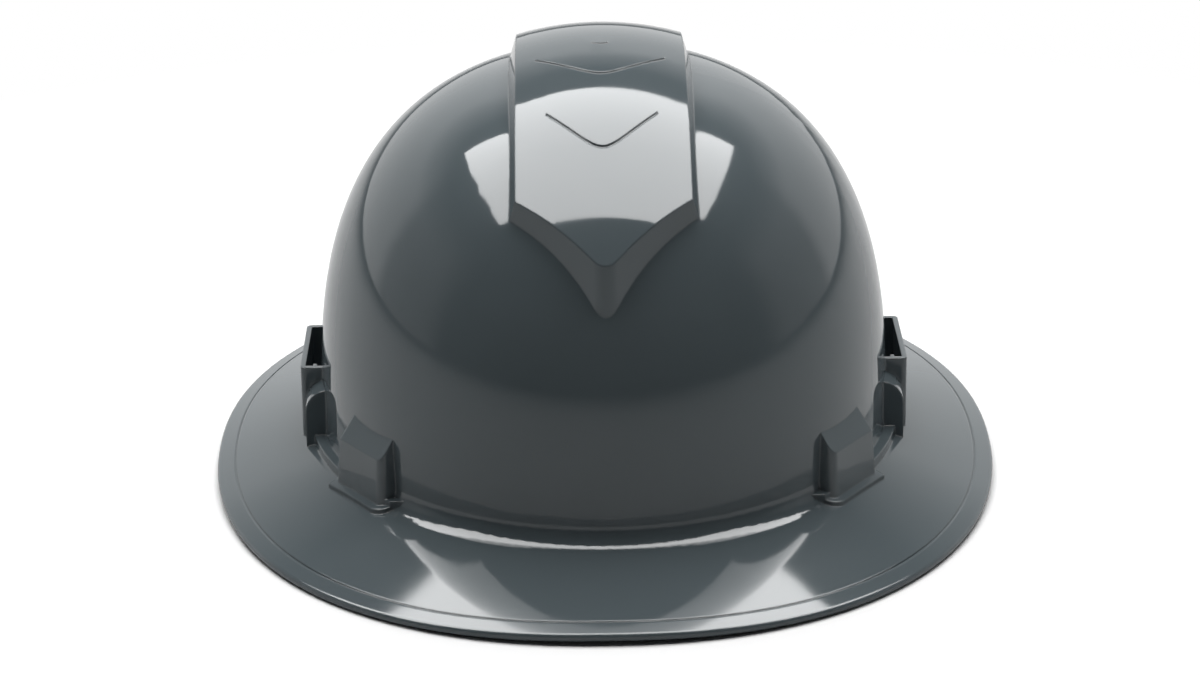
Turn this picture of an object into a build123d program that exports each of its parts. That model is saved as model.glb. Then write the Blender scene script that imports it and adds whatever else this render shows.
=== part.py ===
from build123d import *
from math import atan, atan2, cos, copysign, degrees, hypot, pi, radians, sin, sqrt, tan
import os

# Full brim hard hat with a four-point ratchet suspension.
# The hat stands on its brim: Z is up, the front is towards -Y and the wearer's left is +X.
# The origin lies on the floor, under the middle of the brim. All sizes are in millimetres.

# Head: the band's inner radius and the distance from the middle to its two centres
band_inner = 77.0
band_thickness = 2.0
station_centre = 14.0

# Room from the band's outer face to the dome's, and from there to the brim's edge
side_room = 20.7
front_room = 21.0
brim_side = 37.3
brim_front = 45.0
dome_half_width = band_inner + band_thickness + side_room
dome_half_length = station_centre + band_inner + band_thickness + front_room
brim_half_width = dome_half_width + brim_side
brim_half_length = dome_half_length + brim_front

# Brim
brim_outline_power = 2.2
brim_thickness = 2.8
brim_slope = 0.30
brim_edge_round = 1.1
brim_outline_count = 48
groove_inset = 6.0
groove_width = 0.6
groove_depth = 0.3

# Dome
dome_top = 142.2
foot_rise = 8.01
dome_foot = brim_thickness + brim_slope * brim_side + foot_rise
dome_power = 2.6
dome_curve_count = 12
wall = 2.5
foot_round = 7.0

# Centre ridge
ridge_top = 152.2
ridge_bow = 142.0
ridge_arch = 107.0
ridge_top_count = 3
ridge_half_width = 29.0
ridge_draft_share = 0.3
ridge_depth = 13.0
ridge_span = 112.0
ridge_nose_inset = 8.8
ridge_nose_y = dome_half_length - ridge_nose_inset
ridge_nose_angle = 40.0
ridge_nose_round = 6.0
ridge_nose_level = 86.0
crease_tips = (67.0, 29.5, 5.0)
crease_half_widths = (18.5, 22.0, 2.8)
crease_sweeps = (17.0, 15.0, 0.6)
crease_width = 1.1
crease_depth = 0.5
crease_tip_share = 0.28
crease_count = 4

# Key pockets
station_angle = 35.0
pocket_room = 3.1
pocket_reach = dome_half_width + pocket_room
pocket_width = 29.0
pocket_draft = 3.0
pocket_corner = 4.5
pocket_roof_inner = 36.5
pocket_roof_outer = 29.0
flange_width = 1.6
flange_height = 1.6
key_slot_wall = 2.3
key_slot_depth = 3.4
key_slot_outer = pocket_reach - key_slot_wall
key_slot_inner = key_slot_outer - key_slot_depth
key_slot_width = 23.6
key_slot_top = 27.5

# Accessory slots and their fairings
slot_room = 6.5
slot_outer = dome_half_width + slot_room
slot_front = 16.5
slot_rear = 24.5
slot_rim = 39.0
slot_wall = 1.8
slot_floor = 15.5
slot_rib = 1.4
fairing_front = 26.2
fairing_room = 5.1
fairing_reach = dome_half_width + fairing_room
fairing_top = 34.8
fairing_round = 9.0
foot_rib_reach = 4.2
foot_rib_top = 17.6

# Clearances
fit_gap = 0.3
running_gap = 0.05
overrun = 30.0

# Suspension: hangers
hanger_width = 22.0
hanger_plate = 2.4
tab_gap = 0.5
neck_gap = 0.2
key_plate = 2.8
key_top = 26.5
bridge_bottom = 6.2
bridge_thickness = 2.8
bridge_round = 1.2
bar_level = 53.0
bar_radius = 2.0
ear_depth = 8.0
ear_thickness = 2.6
ear_rise = 3.4
ear_overlap = 5.0
tongue_width = 8.0
tongue_length = 12.0
tongue_slit = 0.9

# Suspension: crown straps
strap_width = 19.0
strap_thickness = 1.2
strap_rise = 57.0
strap_eye_wall = 1.2
strap_layer_gap = 0.6

# Suspension: headband
band_height = 29.0
band_level = 27.0
band_waist = 4.6
band_waist_reach = 46.0
band_end_angle = 44.0
band_corner = 3.0
keeper_span = 9.0
keeper_plate = 1.8
vent_width = 4.0
vent_height = 11.0
vent_pitch_angle = 9.0
vent_count = 5
height_step = 6.0
height_steps = 2

# Suspension: height studs
stud_radius = 2.5
stud_head_radius = 4.6
stud_head = 1.7
stud_head_edge = 0.7
detent_radius = 3.1

# Suspension: pads
brow_pad_thickness = 4.1
brow_pad_inner = band_inner - fit_gap - brow_pad_thickness
brow_pad_angle = 62.0
brow_pad_height = 29.0
brow_pad_round = 1.6
nape_pad_thickness = 3.9
nape_pad_angle = 17.0
nape_pad_height = 25.0
nape_pad_round = 1.4

# Suspension: nape straps
nape_thickness = 2.0
nape_inner = band_inner - fit_gap - nape_thickness
nape_height = 24.0
nape_arm_tip = 17.0
nape_arm_end = 41.0
nape_flare_end = 49.0
nape_end_angle = 75.0
nape_corner = 6.0
nape_window_height = 7.0
nape_window_angles = (54.0, 69.0)

# Suspension: rack and pinion
tooth_count = 10
tooth_module = 1.0
tooth_slant = 20.0
addendum = 0.9
dedendum = 1.15
rack_tooth = 1.2
pinion_tooth = 1.3
rack_teeth_past = 6
rack_teeth_arm = 11
gear_side_gap = 0.1

# Suspension: ratchet
housing_angle = 20.0
housing_wall = 2.4
housing_half_height = 14.6
back_plate = 2.2
boss_radius = 14.0
boss_depth = 5.3
boss_face = nape_inner + nape_thickness + boss_depth
spigot_radius = 6.5
spigot_length = 3.6
shaft_radius = 4.0
journal_radius = 2.2
knob_radius = 19.0
knob_wall = 2.4
knob_reach = 11.0
knob_face = boss_face + knob_reach
knob_disc = 2.6
knob_hub_radius = 6.4
knob_edge = 1.4
grip_count = 12
grip_radius = 5.2
grip_depth = 1.5
drive_across = 5.0
drive_length = 6.0
click_count = 24
click_height = 1.3
click_skin = 0.9
pawl_plate = 2.0
pawl_ring = 2.4
pawl_arm = 1.3
pawl_tip_gap = 0.35
screw_radius = 1.5
screw_head_radius = 4.2
screw_head = 1.6
screw_length = 7.0
screw_slot = 1.0
rivet_angle = 16.0
rivet_radius = 1.6
rivet_head_radius = 2.8
rivet_head = 0.9


def superellipse_point(half_x, half_y, power, angle):
    """A point of a superellipse at a parameter angle in radians."""
    across = copysign(abs(cos(angle)) ** (2 / power), cos(angle))
    along = copysign(abs(sin(angle)) ** (2 / power), sin(angle))
    return half_x * across, half_y * along


def brim_outline(inset):
    """The points of the brim's outline, drawn in by the given amount."""
    return [
        superellipse_point(
            brim_half_width - inset, brim_half_length - inset, brim_outline_power, 2 * pi * k / brim_outline_count
        )
        for k in range(brim_outline_count)
    ]


plan_ratio = dome_half_length / dome_half_width
brim_reach = max(hypot(x, y / plan_ratio) for x, y in brim_outline(0))
# The rounding of the brim's edge lifts its lowest point, so the brim is set down by as much
brim_round_lift = brim_edge_round * ((1 + sin(atan(brim_slope))) / cos(atan(brim_slope)) - 1)


def brim_level(reach, drop):
    """The height of the brim's upper side, lowered by a drop, at a reach measured across the hat."""
    return brim_thickness - brim_round_lift - drop + brim_slope * (brim_reach - reach)


def shell_form(inset, drop, foot_fillet):
    """The solid under the dome and brim, with the dome drawn in by an inset and the brim lowered by a drop."""
    half_width = dome_half_width - inset
    rise = dome_top - dome_foot - inset
    far = brim_reach + overrun
    curve = []
    for k in range(dome_curve_count):
        across, up = superellipse_point(half_width, rise, dome_power, pi / 2 * k / dome_curve_count)
        curve.append((across, dome_foot + up))
    # The crown is cut flat where the ridge covers it
    crown_reach, crown_level = curve[-1]
    crown_slope = rise / half_width * (crown_reach / half_width) ** (dome_power - 1)
    with BuildPart() as form:
        with BuildSketch(Plane.XZ):
            with BuildLine():
                Spline(*curve, tangents=((0, 1), (-1, crown_slope)))
                FilletPolyline(
                    curve[0],
                    (half_width, brim_level(half_width, drop)),
                    (far, brim_level(far, drop)),
                    radius=foot_fillet,
                )
                Polyline(
                    (far, brim_level(far, drop)),
                    (far, -2 * overrun),
                    (0, -2 * overrun),
                    (0, crown_level),
                    curve[-1],
                )
            make_face()
        revolve(axis=Axis.Z)
    return scale(form.part, by=(1, plan_ratio, 1))


shell_outside = shell_form(0, 0, foot_round)
shell_inside = shell_form(wall, brim_thickness, foot_round + wall)

# Directions of the front right hanger station; the other three mirror it
station_x = cos(radians(station_angle))
station_y = -sin(radians(station_angle))
station_origin = (0, -station_centre, 0)
station_side = Plane(station_origin, x_dir=(station_x, station_y, 0), z_dir=(station_y, -station_x, 0))
station_floor = Plane(station_origin, x_dir=(station_x, station_y, 0), z_dir=(0, 0, 1))


def station_point(reach, level):
    """The point of the front right station at a reach outwards and a level above the floor."""
    return station_x * reach, station_y * reach - station_centre, level


def all_quarters(piece):
    """A piece of the front right quarter with its mirror images in the other three."""
    right = [piece, mirror(piece, about=Plane.XZ)]
    return right + [mirror(one, about=Plane.YZ) for one in right]


def both_sides(piece):
    """A piece of the right side with its mirror image on the left."""
    return [piece, mirror(piece, about=Plane.YZ)]


# Key pocket, a hollow box low on the dome with a sloping roof
roof_tilt = atan2(pocket_roof_inner - pocket_roof_outer, pocket_reach - key_slot_inner)
pocket_roof = Plane(
    station_point(key_slot_inner - running_gap, pocket_roof_inner),
    x_dir=(station_y, -station_x, 0),
    z_dir=(station_x * sin(roof_tilt), station_y * sin(roof_tilt), cos(roof_tilt)),
)
with BuildPart() as pocket:
    with BuildSketch(station_floor):
        with Locations((pocket_reach / 2, 0)):
            pocket_foot = Rectangle(pocket_reach, pocket_width)
        fillet(pocket_foot.vertices().group_by(Axis((0, 0, 0), (station_x, station_y, 0)))[-1], pocket_corner)
    extrude(amount=2 * pocket_roof_inner, taper=pocket_draft)
    split(bisect_by=pocket_roof, keep=Keep.BOTTOM)

with BuildPart() as pocket_flange:
    with BuildSketch(station_floor):
        with Locations(((pocket_reach + flange_width) / 2, 0)):
            flange_foot = Rectangle(pocket_reach + flange_width, pocket_width + 2 * flange_width)
        fillet(
            flange_foot.vertices().group_by(Axis((0, 0, 0), (station_x, station_y, 0)))[-1],
            pocket_corner + flange_width,
        )
    extrude(amount=pocket_roof_outer)
pocket_flange.part = pocket_flange.part & shell_form(0, -flange_height, foot_round / 2)

with BuildPart() as key_slot:
    with BuildSketch(station_floor.offset(-overrun)):
        with Locations(((key_slot_inner + key_slot_outer) / 2, 0)):
            Rectangle(key_slot_outer - key_slot_inner, key_slot_width)
    extrude(amount=key_slot_top + overrun)

# Accessory slot on the right side, with its fairing and the rib along the dome's foot
slot_length = slot_front + slot_rear
slot_middle = (slot_rear - slot_front) / 2
with BuildPart() as slot_case:
    with BuildSketch():
        with Locations((slot_outer / 2, slot_middle)):
            slot_plan = Rectangle(slot_outer, slot_length)
        fillet(slot_plan.vertices().group_by(Axis.X)[-1], slot_wall)
    extrude(amount=slot_rim)
    with BuildSketch(Plane.XZ.offset(slot_front)):
        with Locations((fairing_reach / 2, fairing_top / 2)):
            fairing_profile = Rectangle(fairing_reach, fairing_top)
        fillet(fairing_profile.vertices().group_by(Axis.X)[-1].group_by(Axis.Z)[-1], fairing_round)
    extrude(amount=fairing_front - slot_front, taper=pocket_draft)

with BuildPart() as foot_rib:
    with BuildSketch():
        Ellipse(dome_half_width + foot_rib_reach, dome_half_length + foot_rib_reach)
    extrude(amount=foot_rib_top)
    with BuildSketch():
        with Locations((dome_half_width, -(fairing_front + station_point(pocket_reach, 0)[0]) / 2)):
            Rectangle(dome_half_width, station_point(pocket_reach, 0)[0] - fairing_front)
    extrude(amount=foot_rib_top, mode=Mode.INTERSECT)

with BuildPart() as slot_hollow:
    with BuildSketch(Plane.XY.offset(slot_floor)):
        with Locations(((slot_outer - slot_wall) / 2, slot_middle)):
            Rectangle(slot_outer - slot_wall, slot_length - 2 * slot_wall)
    extrude(amount=slot_rim)
    with BuildSketch(Plane.XY.offset(slot_floor)):
        with Locations((dome_half_width + slot_rib, slot_wall - slot_front)):
            Rectangle(slot_rib, 2 * slot_wall)
    extrude(amount=slot_rim - slot_floor, mode=Mode.SUBTRACT)
    add(shell_outside, mode=Mode.SUBTRACT)


def ridge_top_points(half_width, crown):
    """The points of the ridge's arched top from left to right."""
    points = []
    for k in range(-ridge_top_count, ridge_top_count + 1):
        across = half_width * k / ridge_top_count
        points.append((across, crown - ridge_arch + sqrt(ridge_arch**2 - across**2)))
    return points


def ridge_slab(half_top, half_foot, crown, depth):
    """A slab under the ridge's arched top, bowed from front to rear."""
    bow_axis = Axis((0, 0, ridge_top - ridge_bow), (1, 0, 0))
    top = ridge_top_points(half_top, crown)
    foot_level = top[0][1] - depth
    with BuildPart() as slab:
        with BuildSketch(Plane.XZ):
            with BuildLine():
                Spline(*top)
                Polyline(top[-1], (half_foot, foot_level), (-half_foot, foot_level), top[0])
            make_face()
        revolve(axis=bow_axis, revolution_arc=ridge_span)
    return slab.part.rotate(bow_axis, -ridge_span / 2)


def ridge_body(inset):
    """The raised ridge's solid, or its hollow when drawn in by a wall."""
    nose_angle = radians(ridge_nose_angle)
    half_top = ridge_half_width - inset
    slab = ridge_slab(half_top, half_top + ridge_draft_share * ridge_depth, ridge_top - inset, ridge_depth)
    base_level = ridge_nose_level - overrun
    nose_reach = ridge_nose_y - inset / cos(nose_angle)
    flank_reach = nose_reach / tan(nose_angle)
    with BuildPart() as nosed:
        with BuildSketch(Plane.XY.offset(base_level)):
            with BuildLine():
                Polyline((0, -nose_reach), (flank_reach, 0), (0, nose_reach), (-flank_reach, 0), close=True)
            noses = make_face()
            fillet(noses.vertices().filter_by(lambda vertex: abs(vertex.X) < ridge_nose_round), ridge_nose_round)
        extrude(amount=ridge_top)
        add(slab, mode=Mode.INTERSECT)
    return nosed.part


ridge_outside = ridge_body(0)
ridge_hollow = ridge_body(wall)

# Bed of the creases, the ridge's top drawn in by their depth
crease_bed = ridge_slab(ridge_half_width, ridge_half_width, ridge_top - crease_depth, 2 * ridge_depth)

# Creases across the ridge's top, each a shallow V with a rounded tip


def crease_points(tip, half_width, sweep, width):
    """The points of a crease's edge from left to right, set back from its tip by a width."""
    points = []
    for k in range(-crease_count, crease_count + 1):
        share = k / crease_count
        climb = (hypot(share, crease_tip_share) - crease_tip_share) / (hypot(1, crease_tip_share) - crease_tip_share)
        points.append((half_width * share, width - tip + sweep * climb))
    return points


def crease(tip, half_width, sweep):
    """A crease cut into the ridge's front, as deep as its bed allows."""
    front = crease_points(tip, half_width, sweep, 0)
    back = crease_points(tip, half_width, sweep, crease_width)
    with BuildPart() as cut:
        with BuildSketch(Plane.XY.offset(dome_top - overrun)):
            with BuildLine():
                Spline(*front)
                Line(front[-1], back[-1])
                Spline(*back)
                Line(back[0], front[0])
            make_face()
        extrude(amount=2 * overrun)
        add(crease_bed, mode=Mode.SUBTRACT)
    return cut.part


creases = [crease(*sizes) for sizes in zip(crease_tips, crease_half_widths, crease_sweeps)]
creases.append(mirror(creases[0], about=Plane.XZ))

# Fine groove along the brim, just inside its edge
groove_bed = shell_form(0, groove_depth, foot_round)
with BuildPart() as rim_groove:
    with BuildSketch():
        with BuildLine():
            Spline(*brim_outline(groove_inset), periodic=True)
        make_face()
        with BuildLine():
            Spline(*brim_outline(groove_inset + groove_width), periodic=True)
        make_face(mode=Mode.SUBTRACT)
    extrude(amount=overrun)
    add(groove_bed, mode=Mode.SUBTRACT)


# Shell
with BuildPart() as shell_hollow:
    add(shell_inside)
    add(ridge_hollow)

with BuildPart() as shell:
    with BuildSketch(Plane.XY.offset(-overrun)):
        with BuildLine():
            Spline(*brim_outline(0), periodic=True)
        make_face()
    extrude(amount=2 * dome_top)
    add(shell_outside, mode=Mode.INTERSECT)
    add(ridge_outside)
    add(all_quarters(pocket.part))
    add(all_quarters(pocket_flange.part))
    add(both_sides(slot_case.part))
    add(all_quarters(foot_rib.part))
    add(shell_hollow.part, mode=Mode.SUBTRACT)
    add(all_quarters(key_slot.part), mode=Mode.SUBTRACT)
    add(both_sides(slot_hollow.part), mode=Mode.SUBTRACT)
    add(creases, mode=Mode.SUBTRACT)
    add(rim_groove.part, mode=Mode.SUBTRACT)
    fillet(
        [
            edge
            for edge in shell.edges()
            if edge.length > 2 * brim_half_length and edge.bounding_box().max.X > brim_half_width - fit_gap
        ],
        brim_edge_round,
    )
shell.part.label = "shell"


def curved_plate(inner, outer, start, end, low, high, centre):
    """A plate bent round an upright axis on the middle plane, between two angles and two levels."""
    with BuildPart() as plate:
        with BuildSketch(Plane((0, centre, low))):
            with BuildLine():
                outer_arc = CenterArc((0, 0), outer, start, end - start)
                inner_arc = CenterArc((0, 0), inner, start, end - start)
                Line(outer_arc @ 0, inner_arc @ 0)
                Line(outer_arc @ 1, inner_arc @ 1)
            make_face()
        extrude(amount=high - low)
    return plate.part


def facing_plane(centre, angle, reach, level):
    """A plane facing outwards at an angle about an upright axis, with its Y axis upwards."""
    out_x = cos(radians(angle))
    out_y = sin(radians(angle))
    return Plane((out_x * reach, centre + out_y * reach, level), x_dir=(-out_y, out_x, 0), z_dir=(out_x, out_y, 0))


# Hanger at the front right: a key up in the shell's pocket, a bridge under the dome's foot and a tab inside
tab_inner = band_inner + band_thickness + tab_gap
tab_middle = tab_inner + hanger_plate / 2
tab_outer = tab_inner + hanger_plate
key_inner = key_slot_inner + fit_gap
key_outer = key_inner + key_plate
bridge_top = bridge_bottom + bridge_thickness
eye_inner = bar_radius + fit_gap
eye_outer = eye_inner + strap_thickness
tab_top = bar_level - eye_outer - fit_gap
ear_middle = strap_width / 2 + fit_gap + ear_thickness / 2
bar_x, bar_y, _ = station_point(tab_middle, bar_level)
bar_span = hypot(bar_x, bar_y)
strap_angle = degrees(atan2(bar_y, bar_x))
bar_plane = facing_plane(0, strap_angle, bar_span, bar_level)
stud_slot_top = band_level
stud_slot_bottom = band_level - height_step * height_steps

with BuildPart() as hanger:
    with BuildSketch(station_side):
        with BuildLine():
            Polyline(
                (tab_inner, tab_top),
                (tab_inner, bridge_bottom),
                (key_outer, bridge_bottom),
                (key_outer, key_top),
                (key_inner, key_top),
                (key_inner, bridge_top),
                (tab_outer, bridge_top),
                (tab_outer, tab_top),
                close=True,
            )
        hanger_profile = make_face()
        fillet(hanger_profile.vertices(), bridge_round)
    extrude(amount=hanger_width / 2, both=True)
    with BuildSketch(facing_plane(-station_centre, -station_angle, tab_middle, 0)):
        with Locations((0, (stud_slot_top + stud_slot_bottom) / 2)):
            SlotCenterToCenter(stud_slot_top - stud_slot_bottom, 2 * (stud_radius + neck_gap), rotation=90)
        with Locations([(0, stud_slot_top - step * height_step) for step in range(height_steps + 1)]):
            Circle(detent_radius)
    extrude(amount=hanger_plate, both=True, mode=Mode.SUBTRACT)
    with BuildSketch(facing_plane(-station_centre, -station_angle, (key_inner + key_outer) / 2, key_top)):
        with Locations((0, -tongue_length / 2 - key_plate)):
            Rectangle(tongue_width + 2 * tongue_slit, tongue_length)
            with Locations((0, tongue_slit)):
                Rectangle(tongue_width, tongue_length, mode=Mode.SUBTRACT)
    extrude(amount=key_plate, both=True, mode=Mode.SUBTRACT)
    with BuildSketch(bar_plane):
        with Locations((ear_middle, (ear_rise + tab_top - ear_overlap - bar_level) / 2),
                       (-ear_middle, (ear_rise + tab_top - ear_overlap - bar_level) / 2)):
            Rectangle(ear_thickness, ear_rise - tab_top + ear_overlap + bar_level)
    extrude(amount=ear_depth / 2, both=True)
    with BuildSketch(Plane(bar_plane.origin, z_dir=bar_plane.x_dir)):
        Circle(bar_radius)
    extrude(amount=ear_middle, both=True)

quarter_names = ("front_right", "rear_right", "front_left", "rear_left")
hangers = dict(zip(quarter_names, all_quarters(hanger.part)))
for quarter, piece in hangers.items():
    piece.label = f"hanger_{quarter}"

# Crown straps, each an arch of webbing with an eye round a hanger's bar at both ends


def crown_strap(rise):
    """A strap from the front right bar to the rear left bar, with the given rise over the bars."""
    half = strap_thickness / 2
    upright = Plane((0, 0, bar_level), x_dir=(bar_x, bar_y, 0), z_dir=(bar_y, -bar_x, 0))
    with BuildPart() as strap:
        with BuildSketch(upright):
            Ellipse(bar_span + half, rise + half)
            Ellipse(bar_span - half, rise - half, mode=Mode.SUBTRACT)
            with Locations((0, -rise)):
                Rectangle(3 * bar_span, 2 * rise, mode=Mode.SUBTRACT)
            with Locations((bar_span, 0), (-bar_span, 0)):
                Circle(eye_outer)
                Circle(eye_inner, mode=Mode.SUBTRACT)
        extrude(amount=strap_width / 2, both=True)
    return strap.part


strap_lower = crown_strap(strap_rise)
strap_upper = mirror(crown_strap(strap_rise + strap_thickness + strap_layer_gap), about=Plane.YZ)
strap_lower.label = "crown_strap_lower"
strap_upper.label = "crown_strap_upper"

# Headband, open behind the head, with a keeper loop for the nape strap at each end
band_outer = band_inner + band_thickness
band_low = band_level - band_height / 2
band_high = band_level + band_height / 2
nape_outer = nape_inner + nape_thickness
keeper_inner = nape_inner - fit_gap - keeper_plate


def keeper_loop(side):
    """The loop at one end of the headband, which the nape strap's end runs through."""
    near = 90 + side * band_end_angle
    far = near + side * keeper_span
    start = min(near, far)
    end = max(near, far)
    block = curved_plate(keeper_inner, band_outer, start, end, band_low, band_high, station_centre)
    hole = curved_plate(
        nape_inner - fit_gap,
        nape_outer + fit_gap,
        start - keeper_span,
        end + keeper_span,
        band_level - nape_height / 2 - fit_gap,
        band_level + nape_height / 2 + fit_gap,
        station_centre,
    )
    return block - hole


keepers = [keeper_loop(-1), keeper_loop(1)]
band_cut_angle = radians(band_end_angle + keeper_span)
open_reach = 2 * band_outer
with BuildPart() as headband:
    with BuildSketch(Plane.XY.offset(band_low)):
        SlotCenterToCenter(2 * station_centre, 2 * band_outer, rotation=90)
        SlotCenterToCenter(2 * station_centre, 2 * band_inner, rotation=90, mode=Mode.SUBTRACT)
        with BuildLine():
            Polyline(
                (0, station_centre),
                (open_reach * sin(band_cut_angle), station_centre + open_reach * cos(band_cut_angle)),
                (-open_reach * sin(band_cut_angle), station_centre + open_reach * cos(band_cut_angle)),
                close=True,
            )
        make_face(mode=Mode.SUBTRACT)
    extrude(amount=band_height)
    for edge_level, waist_level in ((band_high, band_high - band_waist), (band_low, band_low + band_waist)):
        with BuildSketch(Plane.YZ):
            with BuildLine():
                waist = ThreePointArc(
                    (-band_waist_reach, edge_level), (0, waist_level), (band_waist_reach, edge_level)
                )
                Line(waist @ 0, waist @ 1)
            make_face()
        extrude(amount=open_reach, both=True, mode=Mode.SUBTRACT)
    add(keepers)
    for index in range(vent_count):
        angle = -90 + (index - (vent_count - 1) / 2) * vent_pitch_angle
        with BuildSketch(facing_plane(-station_centre, angle, band_inner, band_level)):
            SlotCenterToCenter(vent_height - vent_width, vent_width, rotation=90)
        extrude(amount=2 * band_thickness, both=True, mode=Mode.SUBTRACT)
    for end in (-1, 1):
        for side_angle in (station_angle, 180 - station_angle):
            with BuildSketch(facing_plane(end * station_centre, end * side_angle, band_inner, band_level)):
                Circle(stud_radius + running_gap)
            extrude(amount=2 * band_thickness, both=True, mode=Mode.SUBTRACT)
headband.part.label = "headband"

# Height stud, pressed through the band and riding in the hanger's slot
stud_plane = facing_plane(-station_centre, -station_angle, band_inner + running_gap, band_level)
with BuildPart() as stud:
    with BuildSketch(stud_plane):
        Circle(stud_radius)
    extrude(amount=tab_outer + fit_gap - band_inner)
    with BuildSketch(stud_plane.offset(tab_outer + fit_gap - band_inner)):
        Circle(stud_head_radius)
    extrude(amount=stud_head)
    chamfer(stud.edges().sort_by(Axis(stud_plane.origin, stud_plane.z_dir))[-1], stud_head_edge)
studs = dict(zip(quarter_names, all_quarters(stud.part)))
for quarter, piece in studs.items():
    piece.label = f"height_stud_{quarter}"

# Pads
brow_block = curved_plate(
    brow_pad_inner,
    band_inner - fit_gap,
    -90 - brow_pad_angle,
    -90 + brow_pad_angle,
    band_level - brow_pad_height / 2,
    band_level + brow_pad_height / 2,
    -station_centre,
)
with BuildPart() as brow_pad:
    add(brow_block)
    fillet(brow_pad.edges(), brow_pad_round)
brow_pad.part.label = "brow_pad"

plate_outer = nape_inner - fit_gap
plate_inner = plate_outer - back_plate
nape_block = curved_plate(
    plate_inner - fit_gap - nape_pad_thickness,
    plate_inner - fit_gap,
    90 - nape_pad_angle,
    90 + nape_pad_angle,
    band_level - nape_pad_height / 2,
    band_level + nape_pad_height / 2,
    station_centre,
)
with BuildPart() as nape_pad:
    add(nape_block)
    fillet(nape_pad.edges(), nape_pad_round)
nape_pad.part.label = "nape_pad"

# Rack and pinion sizes
pitch_radius = tooth_module * tooth_count / 2
nape_middle = (nape_inner + nape_outer) / 2
rack_step = degrees(pi * tooth_module / nape_middle)
flank = tan(radians(tooth_slant))
rack_root = pitch_radius + dedendum
rack_tip = pitch_radius - addendum

# Left nape strap: a band whose arm carries the upper rack past the pinion
strap_block = curved_plate(
    nape_inner,
    nape_outer,
    90 - nape_arm_tip,
    90 + nape_end_angle,
    band_level - nape_height / 2,
    band_level + nape_height / 2,
    station_centre,
)
with BuildPart() as nape_strap:
    add(strap_block)
    with BuildSketch(Plane.XZ):
        with BuildLine():
            arm_bottom = band_level + rack_root
            strap_bottom = band_level - nape_height
            tip_x = nape_outer * sin(radians(nape_arm_tip + rack_step))
            arm_end_x = -nape_middle * sin(radians(nape_arm_end))
            flare_end_x = -nape_middle * sin(radians(nape_flare_end))
            Polyline(
                (tip_x, strap_bottom), (tip_x, arm_bottom), (arm_end_x, arm_bottom), (flare_end_x, strap_bottom),
                close=True,
            )
        make_face()
    extrude(amount=-2 * open_reach, mode=Mode.SUBTRACT)
    for index in range(-rack_teeth_past, rack_teeth_arm + 1):
        with BuildSketch(facing_plane(station_centre, 90 + index * rack_step, nape_inner, band_level)):
            with BuildLine():
                Polyline(
                    (-rack_tooth / 2 - dedendum * flank, rack_root + running_gap),
                    (-rack_tooth / 2 + addendum * flank, rack_tip),
                    (rack_tooth / 2 - addendum * flank, rack_tip),
                    (rack_tooth / 2 + dedendum * flank, rack_root + running_gap),
                    close=True,
                )
            make_face()
        extrude(amount=nape_thickness)
    window_middle = 90 + (nape_window_angles[0] + nape_window_angles[1]) / 2
    window_length = nape_middle * radians(nape_window_angles[1] - nape_window_angles[0])
    with BuildSketch(facing_plane(station_centre, window_middle, nape_inner, band_level)):
        SlotOverall(window_length, nape_window_height)
    extrude(amount=2 * nape_thickness, both=True, mode=Mode.SUBTRACT)
    end_edges = [
        edge
        for edge in nape_strap.edges().filter_by(GeomType.LINE)
        if abs(edge.length - nape_thickness) < running_gap
        and edge.center().Y < station_centre + nape_outer * cos(radians(nape_end_angle)) + running_gap
    ]
    fillet(end_edges, nape_corner)
nape_strap.part.label = "nape_strap_left"
nape_strap_right = nape_strap.part.rotate(Axis((0, 0, band_level), (0, 1, 0)), 180)
nape_strap_right.label = "nape_strap_right"

# Pinion with its shaft, journal and square drive
gear_face = nape_thickness - 2 * gear_side_gap
gear_start = station_centre + nape_inner + gear_side_gap
housing_outer = nape_outer + fit_gap + housing_wall
boss_start = station_centre + nape_outer + fit_gap
boss_end = station_centre + boss_face
spigot_end = boss_end + spigot_length
knob_end = station_centre + knob_face
hub_start = spigot_end + fit_gap


def rear_plane(along):
    """A plane facing rearwards on the knob's axis."""
    return Plane((0, along, band_level), x_dir=(-1, 0, 0), z_dir=(0, 1, 0))


with BuildPart() as pinion:
    with BuildSketch(rear_plane(gear_start)):
        Circle(pitch_radius - dedendum)
        with PolarLocations(0, tooth_count):
            with BuildLine():
                Polyline(
                    (pitch_radius - dedendum - addendum, pinion_tooth / 2 + dedendum * flank),
                    (pitch_radius - dedendum, pinion_tooth / 2 + dedendum * flank),
                    (pitch_radius + addendum, pinion_tooth / 2 - addendum * flank),
                    (pitch_radius + addendum, addendum * flank - pinion_tooth / 2),
                    (pitch_radius - dedendum, -pinion_tooth / 2 - dedendum * flank),
                    (pitch_radius - dedendum - addendum, -pinion_tooth / 2 - dedendum * flank),
                    close=True,
                )
            make_face()
    extrude(amount=gear_face)
    with BuildSketch(rear_plane(gear_start + gear_face)):
        Circle(shaft_radius)
    extrude(amount=spigot_end - gear_start - gear_face)
    with BuildSketch(rear_plane(spigot_end)):
        Rectangle(drive_across, drive_across)
    extrude(amount=knob_end - knob_disc - running_gap - spigot_end)
    with BuildSketch(rear_plane(gear_start)):
        Circle(journal_radius)
    extrude(amount=-back_plate)
    with BuildSketch(rear_plane(knob_end - knob_disc)):
        Circle(screw_radius)
    extrude(amount=-screw_length, mode=Mode.SUBTRACT)
pinion.part.label = "pinion"

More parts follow.
